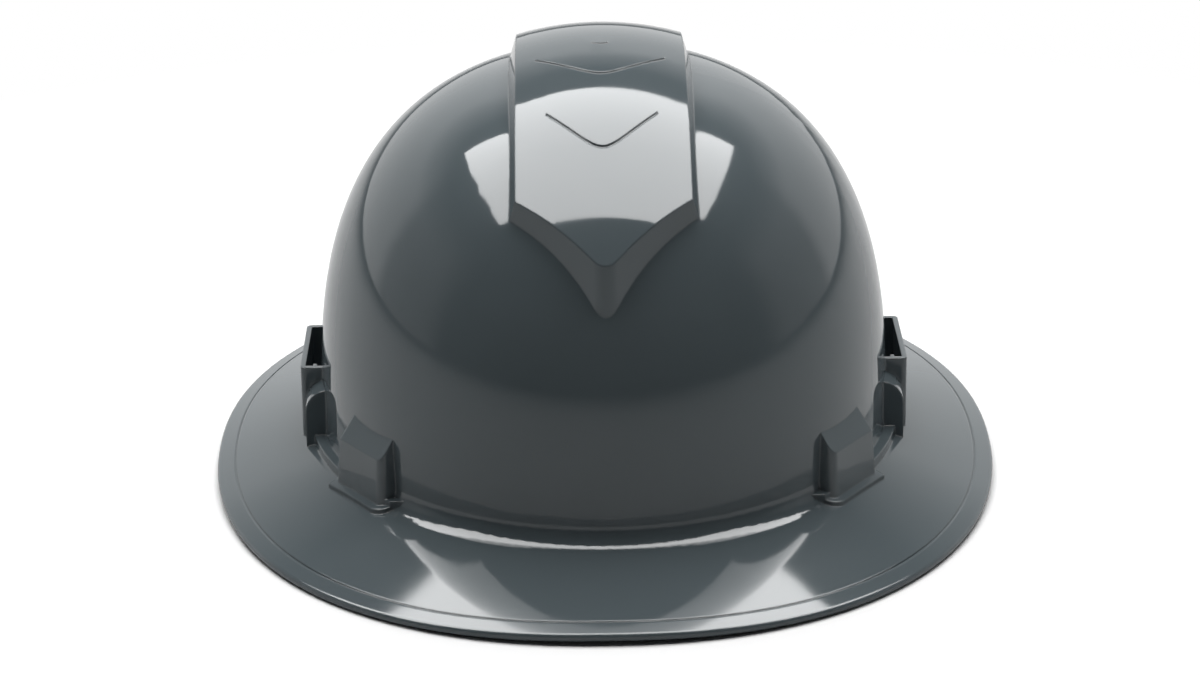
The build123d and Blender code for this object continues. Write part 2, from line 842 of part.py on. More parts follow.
# Ratchet casing
casing_low = band_level - housing_half_height
casing_high = band_level + housing_half_height
channel_half = nape_height / 2 + fit_gap
casing_block = curved_plate(
    plate_outer, housing_outer, 90 - housing_angle, 90 + housing_angle, casing_low, casing_high, station_centre
)
casing_channel = curved_plate(
    plate_outer - overrun / 2,
    nape_outer + fit_gap,
    90 - 2 * housing_angle,
    90 + 2 * housing_angle,
    band_level - channel_half,
    band_level + channel_half,
    station_centre,
)
with BuildPart() as housing:
    add(casing_block)
    with BuildSketch(rear_plane(boss_start)):
        Circle(boss_radius)
    extrude(amount=boss_end - boss_start)
    with BuildSketch(rear_plane(boss_end)):
        Circle(spigot_radius)
    extrude(amount=spigot_length)
    add(casing_channel, mode=Mode.SUBTRACT)
    with BuildSketch(rear_plane(boss_start - housing_wall)):
        Circle(shaft_radius + running_gap)
    extrude(amount=overrun, mode=Mode.SUBTRACT)
    for side in (-1, 1):
        with BuildSketch(facing_plane(station_centre, 90 + side * rivet_angle, nape_outer, band_level)):
            Circle(rivet_radius + running_gap)
        extrude(amount=overrun / 2, mode=Mode.SUBTRACT)
housing.part.label = "ratchet_housing"

plate_block = curved_plate(
    plate_inner, plate_outer, 90 - housing_angle, 90 + housing_angle, casing_low, casing_high, station_centre
)
with BuildPart() as plate:
    add(plate_block)
    with BuildSketch(rear_plane(station_centre)):
        Circle(journal_radius + running_gap)
    extrude(amount=nape_outer, mode=Mode.SUBTRACT)
    for side in (-1, 1):
        with BuildSketch(facing_plane(station_centre, 90 + side * rivet_angle, plate_inner + rivet_head, band_level)):
            Circle(rivet_radius + running_gap)
        extrude(amount=back_plate, mode=Mode.SUBTRACT)
        with BuildSketch(facing_plane(station_centre, 90 + side * rivet_angle, plate_inner + rivet_head, band_level)):
            Circle(rivet_head_radius + running_gap)
        extrude(amount=-2 * rivet_head, mode=Mode.SUBTRACT)
plate.part.label = "ratchet_back_plate"

with BuildPart() as rivets:
    for side in (-1, 1):
        inner_end = facing_plane(station_centre, 90 + side * rivet_angle, plate_inner + running_gap, band_level)
        outer_end = facing_plane(station_centre, 90 + side * rivet_angle, housing_outer, band_level)
        with BuildSketch(inner_end):
            Circle(rivet_radius)
        extrude(amount=housing_outer - plate_inner)
        with BuildSketch(inner_end):
            Circle(rivet_head_radius)
        extrude(amount=rivet_head - running_gap)
        with BuildSketch(outer_end):
            Circle(rivet_head_radius)
        extrude(amount=rivet_head)
rivets.part.label = "housing_rivets"

# Click spring round the spigot, with two arms whose tips ride in the knob's click ring
click_root = knob_radius - grip_depth - click_skin
click_tip = click_root - click_height
arm_reach = spigot_radius + pawl_ring
arm_length = sqrt((click_tip - pawl_tip_gap) ** 2 - (arm_reach + pawl_arm / 2) ** 2)
with BuildPart() as pawl_spring:
    with BuildSketch(rear_plane(boss_end)):
        Circle(spigot_radius + pawl_ring)
        with PolarLocations(0, 2):
            with Locations((arm_reach, arm_length / 2)):
                Rectangle(pawl_arm, arm_length)
        Circle(spigot_radius + running_gap, mode=Mode.SUBTRACT)
    extrude(amount=pawl_plate)
pawl_spring.part.label = "pawl_spring"

# Adjuster knob
skirt_start = boss_end + fit_gap
with BuildPart() as knob:
    with BuildSketch(rear_plane(skirt_start)):
        Circle(knob_radius)
        with PolarLocations(knob_radius + grip_radius - grip_depth, grip_count):
            Circle(grip_radius, mode=Mode.SUBTRACT)
    extrude(amount=knob_end - skirt_start)
    chamfer(knob.faces().sort_by(Axis.Y)[-1].edges(), knob_edge)
    with BuildSketch(rear_plane(skirt_start)):
        Circle(click_root)
    extrude(amount=knob_end - knob_disc - skirt_start, mode=Mode.SUBTRACT)
    with BuildSketch(rear_plane(hub_start)):
        Circle(knob_hub_radius)
    extrude(amount=knob_end - knob_disc - hub_start)
    with BuildSketch(rear_plane(hub_start)):
        Rectangle(drive_across + 2 * running_gap, drive_across + 2 * running_gap)
    extrude(amount=knob_end - knob_disc - hub_start, mode=Mode.SUBTRACT)
    with BuildSketch(rear_plane(skirt_start)):
        with PolarLocations(0, click_count):
            with BuildLine():
                Polyline(
                    (click_root + running_gap, click_height),
                    (click_tip, 0),
                    (click_root + running_gap, -click_height),
                    close=True,
                )
            make_face()
    extrude(amount=pawl_plate)
    with BuildSketch(rear_plane(knob_end)):
        Circle(screw_head_radius + running_gap)
    extrude(amount=-screw_head - running_gap, mode=Mode.SUBTRACT)
    with BuildSketch(rear_plane(knob_end)):
        Circle(screw_radius + running_gap)
    extrude(amount=-2 * knob_disc, mode=Mode.SUBTRACT)
knob.part.label = "adjuster_knob"

with BuildPart() as knob_screw:
    with BuildSketch(rear_plane(knob_end)):
        Circle(screw_head_radius)
    extrude(amount=-screw_head)
    with BuildSketch(rear_plane(knob_end - screw_head)):
        Circle(screw_radius - running_gap)
    extrude(amount=-screw_length + screw_head)
    with BuildSketch(rear_plane(knob_end)):
        Rectangle(screw_head_radius, screw_slot)
        Rectangle(screw_slot, screw_head_radius)
    extrude(amount=-screw_head / 2, mode=Mode.SUBTRACT)
knob_screw.part.label = "knob_screw"

pieces = [
    shell.part,
    strap_lower,
    strap_upper,
    headband.part,
    brow_pad.part,
    nape_pad.part,
    nape_strap.part,
    nape_strap_right,
    housing.part,
    plate.part,
    rivets.part,
    pawl_spring.part,
    pinion.part,
    knob.part,
    knob_screw.part,
]
pieces.extend(hangers.values())
pieces.extend(studs.values())

os.makedirs("parts", exist_ok=True)
for piece in pieces:
    export_step(piece, f"parts/{piece.label}.step")
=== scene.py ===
"""Looks of the full brim hard hat: glossy moulded shell, webbing crown straps, padded bands and ratchet."""

from math import atan2, cos, exp, hypot, pi, radians, sin, sqrt

import bpy
from mathutils import Matrix, Vector


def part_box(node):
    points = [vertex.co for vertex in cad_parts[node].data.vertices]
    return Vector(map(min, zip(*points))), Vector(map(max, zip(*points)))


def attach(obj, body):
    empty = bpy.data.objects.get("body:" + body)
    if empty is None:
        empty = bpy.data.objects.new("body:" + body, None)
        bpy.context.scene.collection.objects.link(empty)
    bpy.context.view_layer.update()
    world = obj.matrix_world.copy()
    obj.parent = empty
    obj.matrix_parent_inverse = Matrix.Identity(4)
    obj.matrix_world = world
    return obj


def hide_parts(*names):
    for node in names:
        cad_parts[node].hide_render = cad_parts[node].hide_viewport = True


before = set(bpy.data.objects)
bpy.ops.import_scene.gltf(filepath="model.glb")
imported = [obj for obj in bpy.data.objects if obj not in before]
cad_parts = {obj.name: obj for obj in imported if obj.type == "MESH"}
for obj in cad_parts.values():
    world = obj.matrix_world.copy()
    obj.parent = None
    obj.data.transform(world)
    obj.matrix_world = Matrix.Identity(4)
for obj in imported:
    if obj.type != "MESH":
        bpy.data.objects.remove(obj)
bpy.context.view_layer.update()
scene = bpy.context.scene
scene.view_settings.view_transform = "Standard"
MM = 0.001

# Camera, fitted to the brim and dome of the photo
LOOK_POINT = Vector((0, 0, 70 * MM))
CAMERA_REACH = 1300 * MM
CAMERA_ELEVATION = radians(20.46)
CAMERA_YAW = radians(0.56)
CAMERA_ROLL = radians(-0.72)
CAMERA_ANGLE = radians(18.40)
CAMERA_SHIFT = (-0.0019, -0.0617)
CAMERA_SENSOR = 36
CAMERA_NEAR = 50 * MM


def linear(value):
    """One sRGB channel from 0 to 255 as the linear value that shaders use."""
    share = value / 255
    return share / 12.92 if share <= 0.04045 else ((share + 0.055) / 1.055) ** 2.4


def paint(red, green, blue):
    """An sRGB colour, written as in the photo, as a linear colour with alpha."""
    return linear(red), linear(green), linear(blue), 1


def add_camera():
    """The photo's camera, which looks a little down at the hat's front."""
    data = bpy.data.cameras.new("camera")
    data.sensor_width = CAMERA_SENSOR
    data.lens = data.sensor_width / 2 / (sin(CAMERA_ANGLE / 2) / cos(CAMERA_ANGLE / 2))
    data.shift_x, data.shift_y = CAMERA_SHIFT
    data.clip_start = CAMERA_NEAR
    camera = bpy.data.objects.new("camera", data)
    scene.collection.objects.link(camera)
    flat = cos(CAMERA_ELEVATION) * CAMERA_REACH
    camera.location = LOOK_POINT + Vector(
        (-flat * sin(CAMERA_YAW), -flat * cos(CAMERA_YAW), sin(CAMERA_ELEVATION) * CAMERA_REACH)
    )
    aim = (LOOK_POINT - camera.location).to_track_quat("-Z", "Y")
    camera.rotation_euler = (aim.to_matrix() @ Matrix.Rotation(CAMERA_ROLL, 3, "Z")).to_euler()
    scene.camera = camera


# How far each shader rounds the edges, and how deep its relief goes
BEVEL_SAMPLES = 6
SHELL_EDGE = 0.9 * MM
SHELL_RIPPLE = 0.04 * MM
PLASTIC_EDGE = 0.35 * MM
PLASTIC_GRAIN = 0.03 * MM
GRIP_GRAIN = 0.05 * MM
METAL_EDGE = 0.2 * MM
METAL_GRAIN = 0.01 * MM
WEAVE_DEPTH = 0.18 * MM
LOOP_DEPTH = 0.22 * MM
PILE_DEPTH = 0.25 * MM
THREAD_TWIST = 0.05 * MM

# How far a roughness strays to either side, and how dark a metal's darker patches are
PLASTIC_STRAY = 0.06
METAL_STRAY = 0.08
METAL_SHADE_SHARE = 0.9

# Webbing: the turn and the pitch of its ribs, its twill and its cross threads
RIBS = (0.0, 1.1 * MM)
TWILL = (62.0, 1.6 * MM)
CROSS_THREADS = (90.0, 0.9 * MM)
WAVE_BAND_TURN = 20


class Shading:
    """A node material around one Principled shader."""

    def __init__(self, name):
        self.material = bpy.data.materials.new(name)
        self.material.use_nodes = True
        self.nodes = self.material.node_tree.nodes
        self.links = self.material.node_tree.links
        self.shader = self.nodes["Principled BSDF"]

    def node(self, kind, **settings):
        """A new node with its settings."""
        node = self.nodes.new(kind)
        for key, value in settings.items():
            setattr(node, key, value)
        return node

    def set(self, **values):
        """Sets inputs of the Principled shader, named with underscores for spaces."""
        for key, value in values.items():
            self.shader.inputs[key.replace("_", " ")].default_value = value

    def place(self):
        """The point on the object, which noises read."""
        if not hasattr(self, "coordinates"):
            self.coordinates = self.node("ShaderNodeTexCoord")
        return self.coordinates.outputs["Object"]

    def noise(self, scale, detail=2.0, stretch=(1, 1, 1)):
        """A noise over the object, in waves per metre."""
        mapping = self.node("ShaderNodeMapping")
        mapping.inputs["Scale"].default_value = stretch
        self.links.new(self.place(), mapping.inputs["Vector"])
        texture = self.node("ShaderNodeTexNoise")
        texture.inputs["Scale"].default_value = scale
        texture.inputs["Detail"].default_value = detail
        self.links.new(mapping.outputs["Vector"], texture.inputs["Vector"])
        return texture.outputs["Fac"]

    def ramp(self, source, low, high, start=0.35, end=0.65):
        """Spreads the source from low to high, which are both numbers or both colours."""
        if isinstance(low, (int, float)):
            node = self.node("ShaderNodeMapRange")
            node.inputs["From Min"].default_value = start
            node.inputs["From Max"].default_value = end
            node.inputs["To Min"].default_value = low
            node.inputs["To Max"].default_value = high
            self.links.new(source, node.inputs["Value"])
            return node.outputs["Result"]
        node = self.node("ShaderNodeValToRGB")
        node.color_ramp.elements[0].position = start
        node.color_ramp.elements[0].color = low
        node.color_ramp.elements[1].position = end
        node.color_ramp.elements[1].color = high
        self.links.new(source, node.inputs["Fac"])
        return node.outputs["Color"]

    def feed(self, name, output):
        """Links an output to an input of the Principled shader."""
        self.links.new(output, self.shader.inputs[name])

    def bump(self, height, depth, strength=1.0, below=None):
        """A relief that deep, on top of the one below it."""
        node = self.node("ShaderNodeBump")
        node.inputs["Distance"].default_value = depth
        node.inputs["Strength"].default_value = strength
        self.links.new(height, node.inputs["Height"])
        if below is not None:
            self.links.new(below, node.inputs["Normal"])
        return node.outputs["Normal"]

    def round_edges(self, radius):
        """Softens hard edges in the light."""
        node = self.node("ShaderNodeBevel")
        node.samples = BEVEL_SAMPLES
        node.inputs["Radius"].default_value = radius
        return node.outputs["Normal"]


def shell_plastic():
    """Glossy moulded ABS: a faint unevenness of colour, a slow ripple and softly rounded edges."""
    look = Shading("gloss_abs")
    tone = look.noise(scale=9, detail=3)
    polish = look.noise(scale=35, detail=4)
    look.feed("Base Color", look.ramp(tone, paint(85, 94, 98), paint(89, 98, 102)))
    look.feed("Roughness", look.ramp(polish, low=0.045, high=0.075))
    look.set(IOR=1.5, Specular_IOR_Level=0.5)
    ripple = look.noise(scale=28, detail=1)
    look.feed("Normal", look.bump(ripple, SHELL_RIPPLE, below=look.round_edges(SHELL_EDGE)))
    return look.material


def satin_plastic(name, dark, light, roughness=0.42, grain=420, depth=PLASTIC_GRAIN):
    """Moulded plastic with a fine spark-eroded grain."""
    look = Shading(name)
    tone = look.noise(scale=30, detail=3)
    sheen = look.noise(scale=90, detail=3)
    relief = look.noise(scale=grain, detail=3)
    look.feed("Base Color", look.ramp(tone, dark, light))
    look.feed("Roughness", look.ramp(sheen, roughness - PLASTIC_STRAY, roughness + PLASTIC_STRAY))
    look.set(IOR=1.48)
    look.feed("Normal", look.bump(relief, depth, below=look.round_edges(PLASTIC_EDGE)))
    return look.material


def metal(name, colour, roughness):
    """Metal with a faint brushed grain."""
    look = Shading(name)
    look.set(Metallic=1.0)
    shade = tuple(METAL_SHADE_SHARE * channel for channel in colour[:3]) + (1,)
    tone = look.noise(scale=80, detail=3)
    brushing = look.noise(scale=300, detail=4, stretch=(1, 1, 6))
    relief = look.noise(scale=600, detail=2)
    look.feed("Base Color", look.ramp(tone, shade, colour))
    look.feed("Roughness", look.ramp(brushing, roughness - METAL_STRAY, roughness + METAL_STRAY))
    look.feed("Normal", look.bump(relief, METAL_GRAIN, below=look.round_edges(METAL_EDGE)))
    return look.material


def weave(name, dark, light):
    """Webbing: fine ribs across the strap and a slow twill, from UVs that run in metres, with painted shade
    in the weave's hollows.
    """
    look = Shading(name)
    place = look.node("ShaderNodeTexCoord").outputs["UV"]
    waves = []
    for turn, pitch in (RIBS, TWILL, CROSS_THREADS):
        mapping = look.node("ShaderNodeMapping")
        mapping.inputs["Rotation"].default_value = (0, 0, radians(turn))
        look.links.new(place, mapping.inputs["Vector"])
        wave = look.node("ShaderNodeTexWave", wave_type="BANDS", bands_direction="X", wave_profile="SIN")
        wave.inputs["Scale"].default_value = 2 * pi / (WAVE_BAND_TURN * pitch)
        wave.inputs["Distortion"].default_value = 0.6
        wave.inputs["Detail"].default_value = 1.0
        look.links.new(mapping.outputs["Vector"], wave.inputs["Vector"])
        waves.append(wave.outputs["Fac"])
    ribs, slant, cross = waves
    woven = look.node("ShaderNodeMath", operation="MULTIPLY")
    look.links.new(ribs, woven.inputs[0])
    look.links.new(cross, woven.inputs[1])
    twill = look.node("ShaderNodeMath", operation="ADD")
    look.links.new(woven.outputs["Value"], twill.inputs[0])
    look.links.new(slant, twill.inputs[1])
    # Painted shade: the colour follows the relief, dark in the weave's low hollows and light on its raised
    # threads
    look.feed("Base Color", look.ramp(twill.outputs["Value"], dark, light, start=0.3, end=1.4))
    look.feed("Normal", look.bump(twill.outputs["Value"], WEAVE_DEPTH, strength=0.9))
    look.set(Roughness=0.82, Sheen_Weight=0.25, Sheen_Roughness=0.4)
    return look.material


def knit(name, dark, light):
    """A brushed terry cover: small loops over a soft unevenness, with painted shade between the loops."""
    look = Shading(name)
    loops = look.node("ShaderNodeTexVoronoi")
    loops.inputs["Scale"].default_value = 900
    look.links.new(look.place(), loops.inputs["Vector"])
    pile = look.ramp(loops.outputs["Distance"], low=1.0, high=0.0, start=0.1, end=0.75)
    # Painted shade: the colour follows the loop relief, dark in the gaps between loops and light on their
    # tops
    look.feed("Base Color", look.ramp(pile, dark, light, start=0.15, end=0.95))
    soft = look.bump(look.noise(scale=160, detail=3), PILE_DEPTH, strength=0.5)
    look.feed("Normal", look.bump(pile, LOOP_DEPTH, strength=0.9, below=soft))
    look.set(Roughness=0.92, Sheen_Weight=0.5, Sheen_Roughness=0.45)
    return look.material


def thread(name, colour):
    """Twisted sewing thread."""
    look = Shading(name)
    look.set(Base_Color=colour, Roughness=0.6)
    look.feed("Normal", look.bump(look.noise(scale=2600, detail=2, stretch=(1, 1, 3)), THREAD_TWIST))
    return look.material


def assign(node, material):
    """Gives one CAD node its material."""
    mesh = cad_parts[node].data
    mesh.materials.clear()
    mesh.materials.append(material)


QUARTERS = ("front_right", "rear_right", "front_left", "rear_left")


def finish_nodes():
    """Gives each CAD node its material."""
    black = satin_plastic("black_nylon", paint(26, 27, 29), paint(34, 35, 37))
    band = satin_plastic("band_polyethylene", paint(38, 39, 41), paint(46, 47, 49), 0.5)
    casing = satin_plastic("casing_plastic", paint(42, 43, 46), paint(50, 51, 54), 0.46)
    grip = satin_plastic("grip_plastic", paint(24, 25, 27), paint(32, 33, 35), 0.55, 520, GRIP_GRAIN)
    natural = satin_plastic("natural_acetal", paint(206, 203, 192), paint(218, 215, 206), 0.36)
    assign("shell", shell_plastic())
    for quarter in QUARTERS:
        assign(f"hanger_{quarter}", black)
        assign(f"height_stud_{quarter}", casing)
    for node in ("headband", "nape_strap_left", "nape_strap_right"):
        assign(node, band)
    for node in ("ratchet_housing", "ratchet_back_plate"):
        assign(node, casing)
    for node in ("pawl_spring", "pinion"):
        assign(node, natural)
    assign("adjuster_knob", grip)
    assign("housing_rivets", metal("rivet_aluminium", paint(196, 197, 199), 0.38))
    assign("knob_screw", metal("plated_steel", paint(176, 178, 182), 0.3))


def add_mesh(name, points, faces, body, material):
    """A smooth mesh piece that rides on a body."""
    mesh = bpy.data.meshes.new(name)
    mesh.from_pydata([tuple(point) for point in points], [], faces)
    for polygon in mesh.polygons:
        polygon.use_smooth = True
    mesh.materials.append(material)
    piece = bpy.data.objects.new(name, mesh)
    scene.collection.objects.link(piece)
    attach(piece, body)
    return piece


# Sewing thread
STITCH_LENGTH = 2.2 * MM
STITCH_PITCH = 3.0 * MM
THREAD_RADIUS = 0.28 * MM
THREAD_SIDES = 6
STITCH_MIDDLE_SHARES = (0.4, 0.5, 0.6)
# Rings of one stitch from end to end: its place along half its length, its girth and its lift, in radii
STITCH_RINGS = ((-1.0, 0.3, -0.9), (-0.7, 0.85, 0.1), (0.0, 1.0, 0.4), (0.7, 0.85, 0.1), (1.0, 0.3, -0.9))


def seam(place, start, end, pitch=STITCH_PITCH):
    """Stitches on a surface between two places. The surface gives a point and its outward direction."""
    run = [a - b for a, b in zip(end, start)]
    count = max(1, round(hypot(*run) / pitch))
    found = []
    for k in range(count):
        shares = [(k + part) / count for part in STITCH_MIDDLE_SHARES]
        before, middle, after = (place(*(a + b * share for a, b in zip(start, run))) for share in shares)
        found.append((middle[0], (after[0] - before[0]).normalized(), middle[1]))
    return found


def add_stitches(name, found, body, material):
    """Short raised threads whose ends dip into the cloth."""
    points = []
    faces = []
    for middle, run, outward in found:
        side = run.cross(outward).normalized()
        first = len(points)
        for along, girth, lift in STITCH_RINGS:
            for j in range(THREAD_SIDES):
                turn = 2 * pi * j / THREAD_SIDES
                points.append(
                    middle
                    + run * (along * STITCH_LENGTH / 2)
                    + outward * (THREAD_RADIUS * (lift + girth * sin(turn)))
                    + side * (THREAD_RADIUS * girth * cos(turn))
                )
        for ring in range(len(STITCH_RINGS) - 1):
            low = first + ring * THREAD_SIDES
            for j in range(THREAD_SIDES):
                i = (j + 1) % THREAD_SIDES
                faces.append((low + j, low + THREAD_SIDES + j, low + THREAD_SIDES + i, low + i))
        last = first + (len(STITCH_RINGS) - 1) * THREAD_SIDES
        faces.append(tuple(first + j for j in range(THREAD_SIDES)))
        faces.append(tuple(last + j for j in range(THREAD_SIDES - 1, -1, -1)))
    return add_mesh(name, points, faces, body, material)


# Crown straps: webbing from bar to bar over the head, looped round each bar and sewn back on itself
BAR_LEVEL = 53 * MM
EYE_RADIUS = 2.9 * MM
BAR_X = 66.11 * MM
BAR_Y = -60.29 * MM
STRAP_WIDTH = 19 * MM
STRAP_THICKNESS = 1.2 * MM
STRAP_PLY = 1.3 * MM
STRAP_RISE = 57 * MM
STRAP_LAYER_GAP = 0.6 * MM
LOOP_LEVEL = 12 * MM
SEAM_LEVELS = (15 * MM, 34 * MM)
TAIL_LEVEL = 37 * MM
SEAM_INSET = 2.6 * MM
SELVEDGE = 0.5 * MM
PATH_STEP = 1.6 * MM
ARCH_STEPS = 80
EYE_STEPS = 13
SELVEDGE_IN_SHARE = 0.25
SELVEDGE_SKIN_SHARE = 0.7


class Strap:
    """A crown strap's arch in its own upright plane, which runs from one bar to the other."""

    def __init__(self, rise, side):
        self.rise = rise
        self.middle = Vector((side * BAR_X, BAR_Y, 0)).normalized()
        self.span = hypot(BAR_X, BAR_Y)
        self.across = self.middle.cross(Vector((0, 0, 1)))

    def arch(self, height):
        """The arch's reach, and its outward direction, at a height over the bars."""
        climb = min(height / self.rise, 1)
        reach = self.span * sqrt(1 - climb**2)
        slope = Vector((reach / self.span**2, 0, height / self.rise**2)).normalized()
        return reach, slope

    def place(self, end, height, across, lift):
        """A point over the arch at one end, lifted off the strap's middle, and its outward direction."""
        reach, slope = self.arch(height)
        outward = self.middle * (end * slope.x) + Vector((0, 0, slope.z))
        point = self.middle * (end * reach) + Vector((0, 0, BAR_LEVEL + height)) + self.across * across
        return point + outward * lift, outward

    def rise_from_bar(self, end, beside, lift):
        """From beside the bar up to the arch, with the place where it joins the arch."""
        joined = self.place(end, LOOP_LEVEL, 0, lift)[0]
        start = self.middle * (end * (self.span + beside))
        start.z = BAR_LEVEL
        rise = []
        steps = round(LOOP_LEVEL / PATH_STEP)
        for k in range(steps):
            share = k / steps
            ease = share * share * (3 - 2 * share)
            point = start.lerp(joined, ease)
            point.z = BAR_LEVEL + LOOP_LEVEL * share
            rise.append(point)
        return rise, joined

    def eye(self, end):
        """Half a turn under the bar, from its inner side to its outer side."""
        points = []
        for k in range(EYE_STEPS):
            turn = pi + pi * k / EYE_STEPS
            reach = end * (self.span + EYE_RADIUS * cos(turn))
            points.append(self.middle * reach + Vector((0, 0, BAR_LEVEL + EYE_RADIUS * sin(turn))))
        return points

    def end_path(self, end):
        """From the tail's free end down under the arch, round the bar and up to the arch."""
        tail = []
        steps = round((TAIL_LEVEL - LOOP_LEVEL) / PATH_STEP)
        for k in range(steps):
            height = TAIL_LEVEL + (LOOP_LEVEL - TAIL_LEVEL) * k / steps
            tail.append(self.place(end, height, 0, -STRAP_PLY)[0])
        inner_rise, joined = self.rise_from_bar(end, -EYE_RADIUS, -STRAP_PLY)
        outer_rise, _ = self.rise_from_bar(end, EYE_RADIUS, 0)
        return tail + [joined] + inner_rise[:0:-1] + self.eye(end) + outer_rise

    def path(self):
        """The whole strap's middle line, from one tail's free end to the other's."""
        arch = []
        start = sqrt(1 - (LOOP_LEVEL / self.rise) ** 2)
        first = atan2(LOOP_LEVEL / self.rise, start)
        for k in range(ARCH_STEPS + 1):
            turn = first + (pi - 2 * first) * k / ARCH_STEPS
            point = self.middle * (self.span * cos(turn))
            point.z = BAR_LEVEL + self.rise * sin(turn)
            arch.append(point)
        return self.end_path(1) + arch + self.end_path(-1)[::-1]


def ribbon(name, path, across, body, material):
    """A strip of webbing along a path, with soft selvedges. Its UVs run in metres."""
    half = STRAP_WIDTH / 2
    skin = STRAP_THICKNESS / 2
    shoulder = (half - SELVEDGE_IN_SHARE * SELVEDGE, SELVEDGE_SKIN_SHARE * skin)
    side = [(half - SELVEDGE, skin), shoulder, (half, 0)]
    top = [(-u, v) for u, v in reversed(side)] + [(-half / 3, skin), (half / 3, skin)] + side
    section = top + [(u, -v) for u, v in reversed(top[1:-1])]
    count = len(section)
    points = []
    lengths = []
    run = 0.0
    for k, point in enumerate(path):
        before = path[max(k - 1, 0)]
        after = path[min(k + 1, len(path) - 1)]
        outward = (after - before).normalized().cross(across).normalized()
        run += (point - before).length if k else 0
        lengths.append(run)
        points.extend(point + across * u + outward * v for u, v in section)
    faces = []
    for k in range(len(path) - 1):
        low = k * count
        for j in range(count):
            i = (j + 1) % count
            faces.append((low + j, low + i, low + count + i, low + count + j))
    faces.append(tuple(range(count - 1, -1, -1)))
    faces.append(tuple(len(points) - count + j for j in range(count)))
    piece = add_mesh(name, points, faces, body, material)
    layer = piece.data.uv_layers.new(name="UVMap")
    for loop in piece.data.loops:
        ring, corner = divmod(loop.vertex_index, count)
        layer.data[loop.index].uv = (lengths[ring], section[corner][0])
    return piece


def add_crown_straps():
    """Two webbing straps that cross over the head, each sewn at both ends with a crossed box."""
    # The darker colour is painted shade for the weave's hollows, and the lighter one is its raised threads
    webbing = weave("crown_webbing", paint(30, 31, 34), paint(74, 76, 80))
    sewing = thread("sewing_thread", paint(158, 160, 162))
    half = STRAP_WIDTH / 2 - SEAM_INSET
    low, high = SEAM_LEVELS
    box = [((low, -half), (high, -half)), ((high, -half), (high, half)), ((high, half), (low, half))]
    box += [((low, half), (low, -half)), ((low, -half), (high, half)), ((low, half), (high, -half))]
    upper_rise = STRAP_RISE + STRAP_THICKNESS + STRAP_LAYER_GAP
    outer_face = STRAP_THICKNESS / 2
    inner_face = -STRAP_PLY - STRAP_THICKNESS / 2
    for node, rise, side in (("crown_strap_lower", STRAP_RISE, 1), ("crown_strap_upper", upper_rise, -1)):
        strap = Strap(rise, side)
        piece = ribbon(f"{node}_webbing", strap.path(), strap.across, "shell", webbing)
        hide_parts(node)
        found = []
        for end in (1, -1):
            for start, stop in box:
                for lift, facing in ((outer_face, 1), (inner_face, -1)):
                    sewn = seam(lambda h, u: strap.place(end, h, u, lift), start, stop)
                    found += [(point, run, outward * facing) for point, run, outward in sewn]
        add_stitches(f"{node}_stitches", found, "shell", sewing)


# Pads
STATION_CENTRE = 14 * MM
PAD_TURNS = {"brow_pad": radians(62), "nape_pad": radians(17)}
PAD_VOXEL = 1.5 * MM
PAD_SHRINK = 0.45 * MM
PAD_SWELL = 1.1 * MM
PAD_SEAM_INSET = 3.4 * MM
PAD_SEAM_WIDTH = 0.9 * MM
PAD_SEAM_DEPTH = 0.55 * MM
PAD_PROBE_REACH = 8 * MM
PAD_STITCH_LIFT = 0.1 * MM
CLOTH_PRESSURE = 4
CLOTH_TENSION = 8
CLOTH_QUALITY = 5
CLOTH_FRAMES = 20


def baked(piece):
    """The piece's mesh with its modifiers applied."""
    depsgraph = bpy.context.evaluated_depsgraph_get()
    mesh = bpy.data.meshes.new_from_object(piece.evaluated_get(depsgraph))
    piece.modifiers.clear()
    piece.data = mesh
    return mesh


def spoke_to(vertex, centre_y):
    """The level line from a pad's upright axis out to a vertex."""
    return Vector((vertex.co.x, vertex.co.y - centre_y, 0))


def inflate(piece):
    """Blows the piece up by cloth simulation and gives its new mesh."""
    cloth = piece.modifiers.new("cloth", "CLOTH")
    cloth.settings.use_pressure = True
    cloth.settings.uniform_pressure_force = CLOTH_PRESSURE
    cloth.settings.effector_weights.gravity = 0
    cloth.settings.tension_stiffness = CLOTH_TENSION
    cloth.settings.quality = CLOTH_QUALITY
    for step in range(1, CLOTH_FRAMES + 1):
        scene.frame_set(step)
    mesh = baked(piece)
    scene.frame_set(1)
    return mesh


def settle(mesh, rest, outer, centre_y):
    """Caps the swell, and keeps the back flat on the plastic that carries it."""
    for vertex, start in zip(mesh.vertices, rest):
        move = vertex.co - start
        if move.length > PAD_SWELL:
            vertex.co = start + move.normalized() * PAD_SWELL
        spoke = spoke_to(vertex, centre_y)
        if spoke.length > outer:
            vertex.co += spoke.normalized() * (outer - spoke.length)


